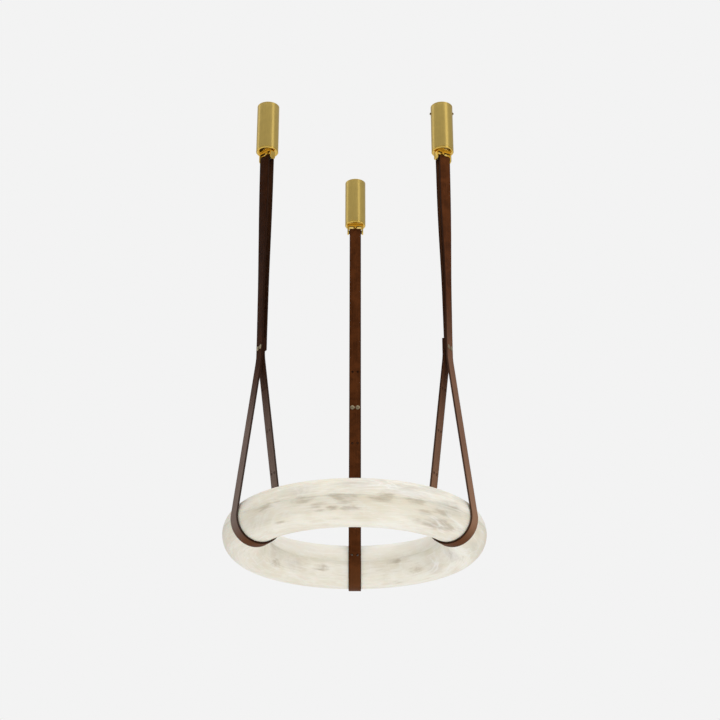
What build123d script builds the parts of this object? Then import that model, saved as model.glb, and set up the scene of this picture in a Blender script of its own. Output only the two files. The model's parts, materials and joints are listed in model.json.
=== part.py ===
"""Ring pendant light: a hollow alabaster ring hung on three leather belts from three brass ceiling canopies.

Millimetres, +Z up. The origin lies on the ceiling plane, midway between the three canopies, and the light hangs
down from it. The far hanger is on +Y, the left and right hangers are 120 degrees to either side of it.
"""

import os
from math import acos, atan2, cos, hypot, radians, sin

from build123d import *

# Overall layout
ring_radius = 248.0
ring_drop = 1072.0
hangers = {"far": 90.0, "left": 210.0, "right": 330.0}
feed_hanger = "far"

# Stone ring, two hollow halves that meet at mid height
tube_radius = 52.0
stone_wall = 10.0
parting_chamfer = 0.7
locating_pin_radius = 2.0
locating_pin_length = 12.0
locating_pin_count = 6
locating_pin_first = 15.0
locating_pin_clearance = 0.1

# Light source inside the stone ring
carrier_width = 24.0
carrier_thickness = 3.0
carrier_below_middle = 10.0
post_radius = 4.0
post_count = 6
post_first = 45.0
post_floor_gap = 0.1
strip_width = 12.0
strip_thickness = 1.2
chip_size = 5.0
chip_height = 1.6
chip_count = 60

# Leather belt
belt_width = 30.0
belt_thickness = 4.0
layer_gap = 0.3
loop_clearance = 0.85
clamp_half_length = 25.0
strand_bend_radius = 150.0
stud_height = 415.5
stud_spacing = 13.5
tail_up = 21.0
tail_down = 9.0
adjust_pitch = 100.0
adjust_pairs_below = 4
adjust_hole_radius = 2.2
lower_tail_inside = {"far": True, "left": False, "right": True}
twist_above_studs = 130.0
twist_below_pin = 45.0
twist_sections = 7

# Leather studs
stud_head_radius = 5.5
stud_head_height = 2.0
stud_head_lip = 0.7
stud_barrel_radius = 2.5
stud_barrel_clearance = 0.2
stud_screw_radius = 1.5
stud_screw_clearance = 0.05
stud_screw_length = 9.0
stud_end_gap = 0.4
stud_socket_across = 2.5
stud_socket_depth = 1.4

# Ceiling bracket
bracket_clearance = 0.2
bracket_plate = 4.0
bracket_wall = 3.0
bracket_depth = 28.0
ceiling_hole_radius = 3.25
entry_hole_radius = 5.0
entry_hole_offset = 13.0

# Canopy tube and its side screws
canopy_radius = 27.0
canopy_wall = 1.6
canopy_height = 132.0
ceiling_gap = 0.5
canopy_top_chamfer = 0.8
groove_below_top = 4.0
groove_width = 0.8
groove_depth = 0.4
side_screw_drop = 19.5
side_screw_radius = 2.0
side_screw_clearance = 0.05
side_screw_hole_clearance = 0.2
side_screw_head_radius = 3.0
side_screw_head_height = 2.6
side_screw_head_lip = 1.6
side_screw_socket_across = 2.0
side_screw_socket_depth = 1.5
side_screw_turn = {"far": -50.0, "left": -170.0, "right": 30.0}
side_screw_step = {"far": 100.0, "left": 100.0, "right": 180.0}

# End cap
cap_band = 5.0
cap_plate = 6.0
cap_chamfer = 1.5
cap_recess_radius = 23.0
cap_recess_depth = 0.8
spigot_height = 12.0
spigot_wall = 2.0
spigot_clearance = 0.1
cable_hole_radius = 3.5
cable_hole_offset = 14.0

# Fork, its centre bolt and nut
pin_below_canopy = 18.0
fork_gap = 34.0
fork_thickness = 4.0
fork_width = 14.0
fork_bend_inner = 1.5
fork_end_land = 0.1
fork_twist = {"far": 0.0, "left": 17.0, "right": -30.0}
bolt_radius = 3.0
bolt_clearance = 0.1
bolt_head_radius = 5.2
bolt_head_height = 3.4
bolt_head_chamfer = 1.0
bolt_socket_across = 4.0
bolt_socket_depth = 2.0
bolt_past_nut = 2.0
nut_across = 10.0
nut_height = 5.0
nut_clearance = 0.05

# Cross screw and the sleeve that the belt hangs on
cross_screw_radius = 2.5
cross_screw_clearance = 0.05
cross_head_radius = 4.6
cross_head_depth = 2.1
cross_socket_across = 3.0
cross_socket_depth = 1.6
cross_screw_side = {"far": 1, "left": 1, "right": -1}
sleeve_radius = 5.0
sleeve_end_gap = 0.15
sleeve_bore_clearance = 0.1
sleeve_belt_clearance = 0.6

# Supply in the feed canopy
driver_clearance = 1.4
driver_height = 46.0
driver_edge = 2.0
terminal_length = 28.0
terminal_width = 14.0
terminal_height = 14.0
terminal_poles = 3
terminal_screw_radius = 2.2
terminal_screw_depth = 4.0
terminal_wire_radius = 1.6
terminal_wire_depth = 5.0

# Cable bushes
bush_wall = 1.0
bush_flange = 1.4
bush_flange_height = 1.5
bush_clearance = 0.1
ring_bush_radius = 4.0
ring_bush_height = 14.0

# Heights that follow from the sizes above
ring_z = -ring_drop
canopy_bottom = -canopy_height
cap_seam = canopy_bottom + cap_band
cap_floor = canopy_bottom + cap_plate
cap_recess = canopy_bottom + cap_recess_depth
spigot_top = cap_seam + spigot_height
fork_underside = cap_recess - fork_thickness
pin_z = canopy_bottom - pin_below_canopy
stud_z = ring_z + stud_height
twist_bottom = stud_z + twist_above_studs
twist_top = pin_z - twist_below_pin
layer_pitch = belt_thickness + layer_gap
stack_face = layer_pitch + belt_thickness / 2
canopy_bore = canopy_radius - canopy_wall
spigot_radius = canopy_bore - spigot_clearance
bracket_radius = canopy_bore - bracket_clearance
driver_radius = canopy_bore - driver_clearance
driver_top = spigot_top + driver_height
fork_reach = fork_gap / 2 + fork_thickness
stone_bore = tube_radius - stone_wall
locating_circle = ring_radius + tube_radius - stone_wall / 2
carrier_top = ring_z - carrier_below_middle + carrier_thickness / 2


def heading(angle):
    """Level direction at an angle from +X."""
    return Vector(cos(radians(angle)), sin(radians(angle)), 0)


def hanger_axis(angle):
    """Upright axis of a hanger."""
    return Axis(heading(angle) * ring_radius, (0, 0, 1))


def level_plane(angle, height, turn=0.0):
    """Level plane at a hanger: X is the outward radius turned by an angle."""
    return Plane(heading(angle) * ring_radius + Vector(0, 0, height), heading(angle + turn), (0, 0, 1))


def upright_plane(angle, turn=0.0, along=0.0):
    """Upright plane through a hanger: X is the outward radius turned by an angle, Y is the height."""
    origin = heading(angle) * ring_radius + heading(angle + 90) * along
    return Plane(origin, heading(angle + turn), heading(angle + turn - 90))


def facing_plane(angle, turn=0.0, reach=0.0):
    """Upright plane that faces the outward radius turned by an angle: X is level, Y is the height."""
    origin = heading(angle) * ring_radius + heading(angle + turn) * reach
    return Plane(origin, heading(angle + turn + 90), heading(angle + turn))


def turning_axis(plane, height):
    """Level axis along an upright plane's X at a height."""
    return Axis(plane.from_local_coords(Vector(0, height, 0)), plane.x_dir)


def outline(plane, *points):
    """Closed face with straight sides."""
    with BuildSketch(plane) as section:
        with BuildLine():
            Polyline(*points, close=True)
        make_face()
    return section.sketch


def domed_outline(plane, crown, rim, *points):
    """Closed face of a turned piece with a domed head: an arc from crown to rim, then straight sides."""
    with BuildSketch(plane) as section:
        with BuildLine():
            TangentArc(crown, rim, tangent=(0, 1))
            Polyline(rim, *points, crown)
        make_face()
    return section.sketch


def hexagon(plane, across, height):
    """Hexagon on a plane, for sockets and nuts, at a height above the plane's origin."""
    with BuildSketch(plane) as section:
        with Locations((0, height)):
            RegularPolygon(across / 2, 6, major_radius=False)
    return section.sketch


def hand_in(piece, label):
    """Label a finished piece and write its file."""
    piece.part.label = label
    export_step(piece.part, f"parts/{label}.step")


def tangent_point(start, centre, radius, side):
    """Point where a straight strand from start touches a circle, on its outward (1) or inward (-1) side."""
    across = start[0] - centre[0]
    up = start[1] - centre[1]
    aim = atan2(up, across)
    swing = acos(radius / hypot(across, up))
    touch = max((aim - swing, aim + swing), key=lambda a: side * cos(a))
    return (centre[0] + radius * cos(touch), centre[1] + radius * sin(touch))


# Stone ring
def stone_half(label, up):
    """One hollow half of the stone ring; up is 1 for the upper half and -1 for the lower one."""
    with BuildPart() as stone:
        with BuildSketch(Plane.XZ):
            with BuildLine():
                outer = ThreePointArc(
                    (ring_radius - tube_radius, ring_z),
                    (ring_radius, ring_z + up * tube_radius),
                    (ring_radius + tube_radius, ring_z),
                )
                inner = ThreePointArc(
                    (ring_radius - stone_bore, ring_z),
                    (ring_radius, ring_z + up * stone_bore),
                    (ring_radius + stone_bore, ring_z),
                )
                Line(outer @ 0, inner @ 0)
                Line(outer @ 1, inner @ 1)
            make_face()
        revolve(axis=Axis.Z)
        rims = stone.edges().filter_by(GeomType.CIRCLE).sort_by(SortBy.RADIUS)
        chamfer([rims[0], rims[-1]], parting_chamfer)
        with BuildSketch(Plane.XY.offset(ring_z)):
            with PolarLocations(locating_circle, locating_pin_count, start_angle=locating_pin_first):
                Circle(locating_pin_radius + locating_pin_clearance)
        extrude(amount=up * (locating_pin_length / 2 + locating_pin_clearance), mode=Mode.SUBTRACT)
        if up > 0:
            with BuildSketch(facing_plane(hangers[feed_hanger])):
                with Locations((0, ring_z + ring_bush_height)):
                    Circle(ring_bush_radius + bush_clearance)
            extrude(amount=tube_radius, mode=Mode.SUBTRACT)
    hand_in(stone, label)


def locating_pins():
    """Steel pins that keep the two stone halves in line."""
    with BuildPart() as pins:
        with BuildSketch(Plane.XY.offset(ring_z - locating_pin_length / 2)):
            with PolarLocations(locating_circle, locating_pin_count, start_angle=locating_pin_first):
                Circle(locating_pin_radius)
        extrude(amount=locating_pin_length)
    hand_in(pins, "locating_pins")


def flat_ring(label, width, bottom, thickness):
    """Flat ring inside the stone, centred on the tube."""
    with BuildPart() as ring:
        with BuildSketch(Plane.XY.offset(bottom)):
            Circle(ring_radius + width / 2)
            Circle(ring_radius - width / 2, mode=Mode.SUBTRACT)
        extrude(amount=thickness)
    hand_in(ring, label)


def carrier_posts():
    """Posts that stand on the floor of the lower stone half and carry the light source."""
    floor = ring_z - (stone_bore**2 - post_radius**2) ** 0.5 + post_floor_gap
    with BuildPart() as posts:
        with BuildSketch(Plane.XY.offset(floor)):
            with PolarLocations(ring_radius, post_count, start_angle=post_first):
                Circle(post_radius)
        extrude(amount=carrier_top - carrier_thickness - floor)
    hand_in(posts, "carrier_posts")


def led_chips():
    """Light-emitting chips on top of the strip."""
    with BuildPart() as chips:
        with BuildSketch(Plane.XY.offset(carrier_top + strip_thickness)):
            with PolarLocations(ring_radius, chip_count):
                Rectangle(chip_size, chip_size)
        extrude(amount=chip_height)
    hand_in(chips, "led_chips")


def ring_cable_bush():
    """Sleeve that leads the supply through the stone wall, hidden under the feed belt."""
    inner_end = (stone_bore**2 - ring_bush_height**2) ** 0.5
    outer_end = (tube_radius**2 - (ring_bush_height + ring_bush_radius) ** 2) ** 0.5
    with BuildPart() as bush:
        with BuildSketch(facing_plane(hangers[feed_hanger], reach=inner_end)):
            with Locations((0, ring_z + ring_bush_height)):
                Circle(ring_bush_radius)
                Circle(ring_bush_radius - bush_wall, mode=Mode.SUBTRACT)
        extrude(amount=outer_end - inner_end)
    hand_in(bush, "ring_cable_bush")


# Belts and their studs
def belt_view(side, plane):
    """Side view of a belt on an upright plane, with the ends of its two straight upper strands."""
    lower_layer = -layer_pitch if lower_tail_inside[side] else 0.0
    upper_layer = 0.0 if lower_tail_inside[side] else -layer_pitch
    upper_end = (upper_layer, stud_z - tail_down)
    upper_bend = (upper_layer, stud_z + clamp_half_length)
    outer_top = (layer_pitch, stud_z + clamp_half_length)
    outer_bottom = (layer_pitch, stud_z - clamp_half_length)
    lower_bend = (lower_layer, stud_z - clamp_half_length)
    lower_end = (lower_layer, stud_z + tail_up)
    pin_turn = sleeve_radius + sleeve_belt_clearance + belt_thickness / 2
    ring_turn = tube_radius + loop_clearance + belt_thickness / 2
    pin_in = tangent_point(upper_bend, (0, pin_z), pin_turn, -1)
    pin_out = tangent_point(outer_top, (0, pin_z), pin_turn, 1)
    ring_out = tangent_point(outer_bottom, (0, ring_z), ring_turn, 1)
    ring_in = tangent_point(lower_bend, (0, ring_z), ring_turn, -1)
    with BuildSketch(plane) as view:
        with BuildLine():
            FilletPolyline(upper_end, upper_bend, pin_in, radius=strand_bend_radius)
            ThreePointArc(pin_in, (0, pin_z + pin_turn), pin_out)
            FilletPolyline(pin_out, outer_top, outer_bottom, ring_out, radius=strand_bend_radius)
            ThreePointArc(ring_out, (0, ring_z - ring_turn), ring_in)
            FilletPolyline(ring_in, lower_bend, lower_end, radius=strand_bend_radius)
            offset(amount=belt_thickness / 2, side=Side.BOTH, mode=Mode.REPLACE)
        make_face()
    return view.sketch, ((upper_bend, pin_in), (outer_top, pin_out))


def twisted_sections(angle, twist, low, high):
    """Level sections of a straight strand that turn smoothly about the hanger on the way up."""
    slant = (high[0] - low[0]) / (high[1] - low[1])
    sections = []
    for i in range(twist_sections):
        share = i / (twist_sections - 1)
        height = twist_bottom + (twist_top - twist_bottom) * share
        turn = twist * share**2 * (3 - 2 * share)
        with BuildSketch(level_plane(angle, height, turn)) as section:
            with Locations((low[0] + slant * (height - low[1]), 0)):
                Rectangle(belt_thickness * hypot(1, slant), belt_width)
        sections.append(section.sketch)
    return sections


def belt(side, angle):
    """One belt: over the turned sleeve, down in two twisting layers, under the ring and up to the studs."""
    top_view, upper_strands = belt_view(side, upright_plane(angle, turn=fork_twist[side]))
    low_view = belt_view(side, upright_plane(angle))[0]
    punch_depth = tube_radius + loop_clearance + layer_pitch + 2 * belt_thickness
    with BuildPart() as strap:
        extrude(top_view, amount=belt_width / 2, both=True)
        split(bisect_by=Plane.XY.offset(twist_top), keep=Keep.TOP)
        low_band = extrude(low_view, amount=belt_width / 2, both=True, mode=Mode.PRIVATE)
        split(low_band, bisect_by=Plane.XY.offset(twist_bottom), keep=Keep.BOTTOM, mode=Mode.ADD)
        for low, high in upper_strands:
            loft(twisted_sections(angle, fork_twist[side], low, high))
        with BuildSketch(facing_plane(angle)):
            with Locations((0, stud_z)):
                with GridLocations(stud_spacing, 1, 2, 1):
                    Circle(stud_barrel_radius + stud_barrel_clearance)
        extrude(amount=stack_face + belt_thickness, both=True, mode=Mode.SUBTRACT)
        with BuildSketch(facing_plane(angle, reach=layer_pitch / 2)):
            for pair in range(-adjust_pairs_below, 2):
                if pair != 0:
                    with Locations((0, stud_z + pair * adjust_pitch)):
                        with GridLocations(stud_spacing, 1, 2, 1):
                            Circle(adjust_hole_radius)
        extrude(amount=-punch_depth, mode=Mode.SUBTRACT)
    hand_in(strap, f"{side}_belt")


def belt_studs(side, angle):
    """Two domed studs whose hollow barrels pass through the three layers."""
    barrel_end = stud_end_gap - stack_face
    bore_end = barrel_end + stud_screw_length
    bore = stud_screw_radius + stud_screw_clearance
    with BuildPart() as studs:
        for along in (-stud_spacing / 2, stud_spacing / 2):
            plane = upright_plane(angle, along=along)
            section = domed_outline(
                plane,
                (stack_face + stud_head_height, stud_z),
                (stack_face + stud_head_lip, stud_z + stud_head_radius),
                (stack_face, stud_z + stud_head_radius),
                (stack_face, stud_z + stud_barrel_radius),
                (barrel_end, stud_z + stud_barrel_radius),
                (barrel_end, stud_z + bore),
                (bore_end, stud_z + bore),
                (bore_end, stud_z),
            )
            revolve(section, axis=turning_axis(plane, stud_z))
    hand_in(studs, f"{side}_belt_studs")


def stud_screws(side, angle):
    """Two screws with socket heads that close the studs from the inward side."""
    tip = stud_screw_length - stack_face
    with BuildPart() as screws:
        for along in (-stud_spacing / 2, stud_spacing / 2):
            plane = upright_plane(angle, along=along)
            section = domed_outline(
                plane,
                (-stack_face - stud_head_height, stud_z),
                (-stack_face - stud_head_lip, stud_z + stud_head_radius),
                (-stack_face, stud_z + stud_head_radius),
                (-stack_face, stud_z + stud_screw_radius),
                (tip, stud_z + stud_screw_radius),
                (tip, stud_z),
            )
            revolve(section, axis=turning_axis(plane, stud_z))
        with BuildSketch(facing_plane(angle, turn=180, reach=stack_face + stud_head_height)):
            with Locations((0, stud_z)):
                with GridLocations(stud_spacing, 1, 2, 1):
                    RegularPolygon(stud_socket_across / 2, 6, major_radius=False)
        extrude(amount=-stud_socket_depth, mode=Mode.SUBTRACT)
    hand_in(screws, f"{side}_stud_screws")


# Canopies
def side_screw_turns(side):
    """Angles of a canopy's two side screws from its outward radius."""
    return (side_screw_turn[side], side_screw_turn[side] + side_screw_step[side])


def ceiling_bracket(side, angle):
    """Steel cup that is screwed to the ceiling and takes the canopy's side screws."""
    with BuildPart() as bracket:
        section = outline(
            upright_plane(angle),
            (0, 0),
            (bracket_radius, 0),
            (bracket_radius, -bracket_depth),
            (bracket_radius - bracket_wall, -bracket_depth),
            (bracket_radius - bracket_wall, -bracket_plate),
            (0, -bracket_plate),
        )
        revolve(section, axis=hanger_axis(angle))
        with BuildSketch(level_plane(angle, 0)):
            Circle(ceiling_hole_radius)
            if side == feed_hanger:
                with Locations((-entry_hole_offset, 0)):
                    Circle(entry_hole_radius)
        extrude(amount=-bracket_plate, mode=Mode.SUBTRACT)
        for turn in side_screw_turns(side):
            with BuildSketch(facing_plane(angle, turn=turn)):
                with Locations((0, -side_screw_drop)):
                    Circle(side_screw_radius + side_screw_clearance)
            extrude(amount=bracket_radius, mode=Mode.SUBTRACT)
    hand_in(bracket, f"{side}_ceiling_bracket")


def canopy(side, angle):
    """Brass tube with a bevelled top edge and a turned line below it."""
    top = -ceiling_gap
    groove_top = top - groove_below_top
    with BuildPart() as tube:
        section = outline(
            upright_plane(angle),
            (canopy_bore, top),
            (canopy_radius - canopy_top_chamfer, top),
            (canopy_radius, top - canopy_top_chamfer),
            (canopy_radius, groove_top),
            (canopy_radius - groove_depth, groove_top - groove_width / 2),
            (canopy_radius, groove_top - groove_width),
            (canopy_radius, cap_seam),
            (canopy_bore, cap_seam),
        )
        revolve(section, axis=hanger_axis(angle))
        for turn in side_screw_turns(side):
            with BuildSketch(facing_plane(angle, turn=turn)):
                with Locations((0, -side_screw_drop)):
                    Circle(side_screw_radius + side_screw_hole_clearance)
            extrude(amount=canopy_radius, mode=Mode.SUBTRACT)
    hand_in(tube, f"{side}_canopy")


def canopy_screws(side, angle):
    """Two socket screws that hold a canopy to its bracket."""
    thread_end = bracket_radius - bracket_wall
    with BuildPart() as screws:
        for turn in side_screw_turns(side):
            plane = upright_plane(angle, turn=turn)
            section = domed_outline(
                plane,
                (canopy_radius + side_screw_head_height, -side_screw_drop),
                (canopy_radius + side_screw_head_lip, side_screw_head_radius - side_screw_drop),
                (canopy_radius, side_screw_head_radius - side_screw_drop),
                (canopy_radius, side_screw_radius - side_screw_drop),
                (thread_end, side_screw_radius - side_screw_drop),
                (thread_end, -side_screw_drop),
            )
            revolve(section, axis=turning_axis(plane, -side_screw_drop))
            socket = facing_plane(angle, turn=turn, reach=canopy_radius + side_screw_head_height)
            section = hexagon(socket, side_screw_socket_across, -side_screw_drop)
            extrude(section, amount=-side_screw_socket_depth, mode=Mode.SUBTRACT)
    hand_in(screws, f"{side}_canopy_screws")


def end_cap(side, angle):
    """Turned cap with a spigot in the canopy, a bevelled rim and a shallow recess for the fork."""
    with BuildPart() as cap:
        section = outline(
            upright_plane(angle),
            (0, cap_floor),
            (spigot_radius - spigot_wall, cap_floor),
            (spigot_radius - spigot_wall, spigot_top),
            (spigot_radius, spigot_top),
            (spigot_radius, cap_seam),
            (canopy_radius, cap_seam),
            (canopy_radius, canopy_bottom + cap_chamfer),
            (canopy_radius - cap_chamfer, canopy_bottom),
            (cap_recess_radius, canopy_bottom),
            (cap_recess_radius, cap_recess),
            (0, cap_recess),
        )
        revolve(section, axis=hanger_axis(angle))
        with BuildSketch(level_plane(angle, cap_recess)):
            Circle(bolt_radius + bolt_clearance)
            if side == feed_hanger:
                with Locations((cable_hole_offset, 0)):
                    Circle(cable_hole_radius)
        extrude(amount=cap_floor - cap_recess, mode=Mode.SUBTRACT)
    hand_in(cap, f"{side}_end_cap")


# Forks
def fork(side, angle):
    """Bent brass fork, set at its own angle: a bar in the cap's recess and two lugs with full-round ends."""
    lug_end = pin_z - fork_width / 2
    twist = fork_twist[side]
    with BuildPart() as bent:
        with BuildSketch(facing_plane(angle, turn=twist)) as section:
            with BuildLine():
                Polyline(
                    (-fork_reach, lug_end),
                    (-fork_reach, cap_recess),
                    (fork_reach, cap_recess),
                    (fork_reach, lug_end),
                    (fork_gap / 2, lug_end),
                    (fork_gap / 2, fork_underside),
                    (-fork_gap / 2, fork_underside),
                    (-fork_gap / 2, lug_end),
                    close=True,
                )
            make_face()
            fillet(section.vertices().group_by(Axis.Y)[1], fork_bend_inner)
            fillet(section.vertices().group_by(Axis.Y)[-1], fork_bend_inner + fork_thickness)
        extrude(amount=fork_width / 2, both=True)
        ends = bent.edges().group_by(Axis.Z)[0].filter_by(Axis((0, 0, 0), heading(angle + twist + 90)))
        fillet(ends, fork_width / 2 - fork_end_land)
        with BuildSketch(level_plane(angle, cap_recess)):
            Circle(bolt_radius + bolt_clearance)
        extrude(amount=-fork_thickness, mode=Mode.SUBTRACT)
        plane = upright_plane(angle, turn=twist + 90 * cross_screw_side[side])
        hole = cross_screw_radius + cross_screw_clearance
        seat = outline(
            plane,
            (-fork_reach, pin_z),
            (-fork_reach, pin_z + hole),
            (fork_reach - cross_head_depth, pin_z + hole),
            (fork_reach, pin_z + cross_head_radius + cross_screw_clearance),
            (fork_reach, pin_z),
        )
        revolve(seat, axis=turning_axis(plane, pin_z), mode=Mode.SUBTRACT)
    hand_in(bent, f"{side}_fork")


def cross_screw(side, angle):
    """Countersunk socket screw through both lugs."""
    turn = fork_twist[side] + 90 * cross_screw_side[side]
    plane = upright_plane(angle, turn=turn)
    with BuildPart() as screw:
        section = outline(
            plane,
            (-fork_reach, pin_z),
            (-fork_reach, pin_z + cross_screw_radius),
            (fork_reach - cross_head_depth, pin_z + cross_screw_radius),
            (fork_reach, pin_z + cross_head_radius),
            (fork_reach, pin_z),
        )
        revolve(section, axis=turning_axis(plane, pin_z))
        section = hexagon(facing_plane(angle, turn=turn, reach=fork_reach), cross_socket_across, pin_z)
        extrude(section, amount=-cross_socket_depth, mode=Mode.SUBTRACT)
    hand_in(screw, f"{side}_cross_screw")


def belt_sleeve(side, angle):
    """Dark sleeve between the lugs, on which the belt hangs and turns."""
    length = fork_gap - 2 * sleeve_end_gap
    with BuildPart() as sleeve:
        with BuildSketch(facing_plane(angle, turn=fork_twist[side] + 90, reach=-length / 2)):
            with Locations((0, pin_z)):
                Circle(sleeve_radius)
                Circle(cross_screw_radius + sleeve_bore_clearance, mode=Mode.SUBTRACT)
        extrude(amount=length)
    hand_in(sleeve, f"{side}_belt_sleeve")


def fork_bolt(side, angle):
    """Socket bolt that holds the fork to the end cap."""
    head_end = fork_underside - bolt_head_height
    tip = cap_floor + nut_height + bolt_past_nut
    with BuildPart() as bolt:
        section = outline(
            upright_plane(angle),
            (0, head_end),
            (bolt_head_radius - bolt_head_chamfer, head_end),
            (bolt_head_radius, head_end + bolt_head_chamfer),
            (bolt_head_radius, fork_underside),
            (bolt_radius, fork_underside),
            (bolt_radius, tip),
            (0, tip),
        )
        revolve(section, axis=hanger_axis(angle))
        extrude(
            hexagon(level_plane(angle, head_end), bolt_socket_across, 0),
            amount=bolt_socket_depth,
            mode=Mode.SUBTRACT,
        )
    hand_in(bolt, f"{side}_fork_bolt")


def fork_nut(side, angle):
    """Hexagon nut inside the end cap."""
    with BuildPart() as nut:
        with BuildSketch(level_plane(angle, cap_floor)):
            RegularPolygon(nut_across / 2, 6, major_radius=False)
            Circle(bolt_radius + nut_clearance, mode=Mode.SUBTRACT)
        extrude(amount=nut_height)
    hand_in(nut, f"{side}_fork_nut")


# Supply in the feed canopy
def led_driver(angle):
    """Round potted driver that stands on the end cap's spigot."""
    with BuildPart() as driver:
        with BuildSketch(level_plane(angle, spigot_top)):
            Circle(driver_radius)
        extrude(amount=driver_height)
        fillet(driver.edges().group_by(Axis.Z)[-1], driver_edge)
    hand_in(driver, "led_driver")


def terminal_block(angle):
    """Supply terminals on top of the driver, with clamping screws above and wire holes at the sides."""
    pole_pitch = terminal_length / terminal_poles
    with BuildPart() as block:
        with BuildSketch(level_plane(angle, driver_top)):
            Rectangle(terminal_width, terminal_length)
        extrude(amount=terminal_height)
        with BuildSketch(level_plane(angle, driver_top + terminal_height)):
            with GridLocations(1, pole_pitch, 1, terminal_poles):
                Circle(terminal_screw_radius)
        extrude(amount=-terminal_screw_depth, mode=Mode.SUBTRACT)
        for turn in (0, 180):
            with BuildSketch(facing_plane(angle, turn=turn, reach=terminal_width / 2)):
                with Locations((0, driver_top + terminal_height / 2)):
                    with GridLocations(pole_pitch, 1, terminal_poles, 1):
                        Circle(terminal_wire_radius)
            extrude(amount=-terminal_wire_depth, mode=Mode.SUBTRACT)
    hand_in(block, "terminal_block")


def canopy_cable_bush(angle):
    """Flanged bush in the end cap, where the supply leaves for the belt."""
    shank = cable_hole_radius - bush_clearance
    with BuildPart() as bush:
        with BuildSketch(level_plane(angle, cap_recess)):
            with Locations((cable_hole_offset, 0)):
                Circle(shank)
        extrude(amount=cap_floor - cap_recess)
        with BuildSketch(level_plane(angle, cap_recess)):
            with Locations((cable_hole_offset, 0)):
                Circle(shank + bush_flange)
        extrude(amount=-bush_flange_height)
        with BuildSketch(level_plane(angle, cap_recess - bush_flange_height)):
            with Locations((cable_hole_offset, 0)):
                Circle(shank - bush_wall)
        extrude(amount=cap_floor - cap_recess + bush_flange_height, mode=Mode.SUBTRACT)
    hand_in(bush, "canopy_cable_bush")


os.makedirs("parts", exist_ok=True)
stone_half("alabaster_upper", 1)
stone_half("alabaster_lower", -1)
locating_pins()
flat_ring("led_carrier", carrier_width, carrier_top - carrier_thickness, carrier_thickness)
flat_ring("led_strip", strip_width, carrier_top, strip_thickness)
led_chips()
carrier_posts()
ring_cable_bush()
for hanger, bearing in hangers.items():
    belt(hanger, bearing)
    belt_studs(hanger, bearing)
    stud_screws(hanger, bearing)
    ceiling_bracket(hanger, bearing)
    canopy(hanger, bearing)
    canopy_screws(hanger, bearing)
    end_cap(hanger, bearing)
    fork(hanger, bearing)
    cross_screw(hanger, bearing)
    belt_sleeve(hanger, bearing)
    fork_bolt(hanger, bearing)
    fork_nut(hanger, bearing)
led_driver(hangers[feed_hanger])
terminal_block(hangers[feed_hanger])
canopy_cable_bush(hangers[feed_hanger])
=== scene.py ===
"""Looks of the alabaster ring pendant: honed stone, leather belts and turned brass in soft studio light.

Metres, in the frame of the solids: +Z up, the origin on the ceiling plane. Each hanger is made once in its
own place, where X points outwards along the radius and Y along the ring, and is then turned to its angle.
"""

import json
from math import acos, atan2, ceil, cos, hypot, pi, radians, sin

import bmesh
import bpy
import numpy as np
from mathutils import Matrix, Vector

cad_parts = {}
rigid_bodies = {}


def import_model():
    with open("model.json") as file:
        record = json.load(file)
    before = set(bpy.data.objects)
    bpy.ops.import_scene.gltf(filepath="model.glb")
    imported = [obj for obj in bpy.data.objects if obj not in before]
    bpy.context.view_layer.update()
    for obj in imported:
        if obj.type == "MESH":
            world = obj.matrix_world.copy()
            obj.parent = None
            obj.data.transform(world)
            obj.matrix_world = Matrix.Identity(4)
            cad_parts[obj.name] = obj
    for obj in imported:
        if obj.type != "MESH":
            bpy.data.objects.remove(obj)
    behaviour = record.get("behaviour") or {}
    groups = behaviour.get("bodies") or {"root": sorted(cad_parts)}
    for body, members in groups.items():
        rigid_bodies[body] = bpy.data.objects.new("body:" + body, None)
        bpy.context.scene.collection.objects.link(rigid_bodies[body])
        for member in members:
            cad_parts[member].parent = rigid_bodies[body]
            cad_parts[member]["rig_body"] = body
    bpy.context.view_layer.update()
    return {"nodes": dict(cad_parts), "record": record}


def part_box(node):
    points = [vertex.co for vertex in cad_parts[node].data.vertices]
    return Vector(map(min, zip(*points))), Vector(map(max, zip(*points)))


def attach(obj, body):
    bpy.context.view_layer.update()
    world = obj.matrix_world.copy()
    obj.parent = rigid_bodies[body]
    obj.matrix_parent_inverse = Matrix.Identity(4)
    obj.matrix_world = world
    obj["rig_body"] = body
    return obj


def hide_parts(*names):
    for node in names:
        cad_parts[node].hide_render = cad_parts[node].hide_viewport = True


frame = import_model()
mm = 0.001

# Layout
ring_radius = 248 * mm
hangers = {"far": 90.0, "left": 210.0, "right": 330.0}
feed_hanger = "far"
ring_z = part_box("alabaster_upper")[0].z

# Stone ring
stone_halves = {"alabaster_upper": 1, "alabaster_lower": -1}
tube_radius = 52 * mm
stone_bore = 42 * mm
parting_edge = 0.4 * mm
bush_hole_radius = 4.1 * mm
bush_height = 14 * mm
stone_stretch = 0.4
stone_shift = {1: (0.3, 1.1, 0), -1: (-0.3, 0.3, 0)}

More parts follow.
